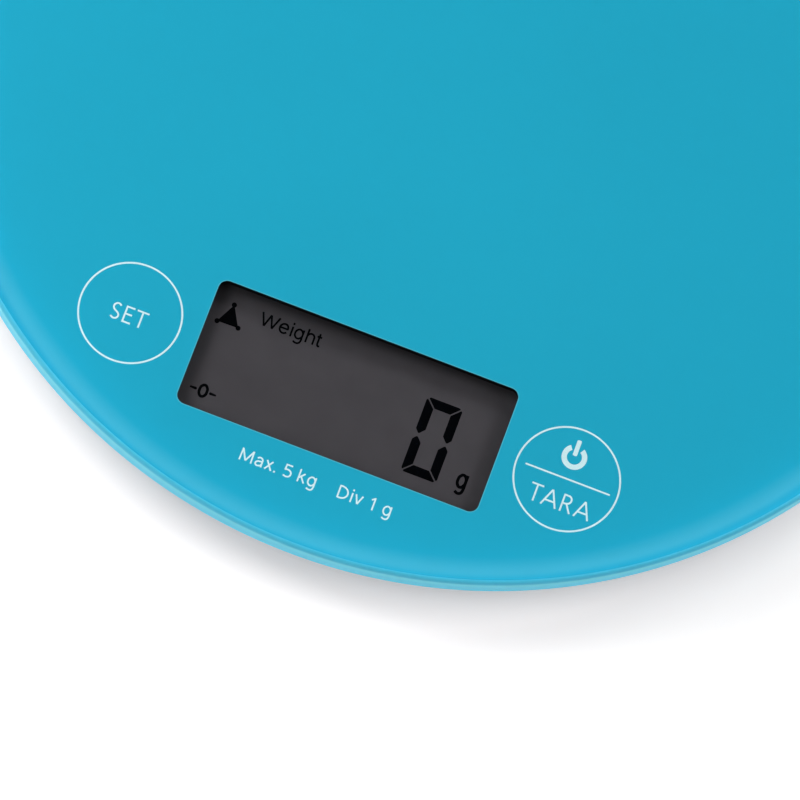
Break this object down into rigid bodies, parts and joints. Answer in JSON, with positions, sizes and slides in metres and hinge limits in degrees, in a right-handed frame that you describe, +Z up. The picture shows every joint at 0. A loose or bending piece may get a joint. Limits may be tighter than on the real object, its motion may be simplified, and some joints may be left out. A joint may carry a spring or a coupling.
{
  "type": "digital kitchen scale",
  "caption": "Thin round digital kitchen scale: a back-printed glass platform with display window and touch keys on one load cell above a shallow base with rubber feet.",
  "frame": {"origin": "centre of the disc on the surface that the feet stand on", "axes": "+Z up, -Y towards the user, at the display and keys, +X to the user's right"},
  "size_m": [0.185, 0.185, 0.018],
  "materials": {
    "clear_glass": "polished tempered glass with a satin ground edge",
    "blue_print": "cyan-blue ink seen through the glass, gloss",
    "white_print": "white key rings and legends printed under the glass",
    "display_ink": "dark liquid crystal segments",
    "tape": "double-sided foam tape",
    "tray_plastic": "moulded blue plastic, fine grain",
    "base_plastic": "moulded blue plastic, fine grain",
    "gasket_foam": "matt black foam",
    "display_film": "grey reflective display film",
    "display_glass": "thin display glass",
    "zebra_rubber": "silicone rubber",
    "circuit_board": "green solder mask",
    "epoxy": "black epoxy",
    "components": "fired ceramic with tinned ends",
    "plated_steel": "zinc-plated",
    "spring_steel": "bright drawn wire",
    "sheet_steel": "galvanised sheet",
    "beam_aluminium": "milled",
    "gauge_foil": "polyimide foil",
    "sealant": "white silicone",
    "wire_red": "PVC insulation",
    "wire_black": "PVC insulation",
    "battery_steel": "nickel-plated can",
    "contact_metal": "plated spring sheet",
    "foot_rubber": "matt black rubber"
  },
  "bodies": {
    "base": {"base_shell": "base_plastic", "cell_plate_lower": "sheet_steel", "cell_screws_lower": "plated_steel", "load_cell": "beam_aluminium", "strain_gauges": "gauge_foil", "gauge_sealant": "sealant", "cell_wires": "wire_red", "battery_wires": "wire_black", "coin_cell": "battery_steel", "battery_contact_negative": "contact_metal", "battery_contact_positive": "contact_metal", "foot_front_left": "foot_rubber", "foot_front_right": "foot_rubber", "foot_rear_left": "foot_rubber", "foot_rear_right": "foot_rubber"},
    "platform": {"glass_platform": "clear_glass", "glass_print": "blue_print", "adhesive_tape": "tape", "platform_tray": "tray_plastic", "display_gasket": "gasket_foam", "lcd_polariser": "display_film", "lcd_cell": "display_glass", "lcd_reflector": "display_film", "zebra_strip": "zebra_rubber", "lcd_support_strip": "gasket_foam", "main_board": "circuit_board", "chip_cover": "epoxy", "board_components": "components", "board_screws": "plated_steel", "set_key_spring": "spring_steel", "tare_key_spring": "spring_steel", "cell_plate_upper": "sheet_steel", "cell_screws_upper": "plated_steel"},
    "cover": {"battery_cover": "base_plastic"}
  },
  "joints": [
    {"name": "weighing", "type": "slide", "parent": "base", "child": "platform", "axis": [0, 0, -1], "range_m": [0, 0.0004], "stiffness_N_per_m": 100000, "deforming": ["load_cell", "cell_wires", "battery_wires"]},
    {"name": "cover_hinge", "type": "hinge", "parent": "base", "child": "cover", "pos_m": [0, 0.035, 0.0014], "axis": [1, 0, 0], "range_deg": [-75, 0]}
  ]
}
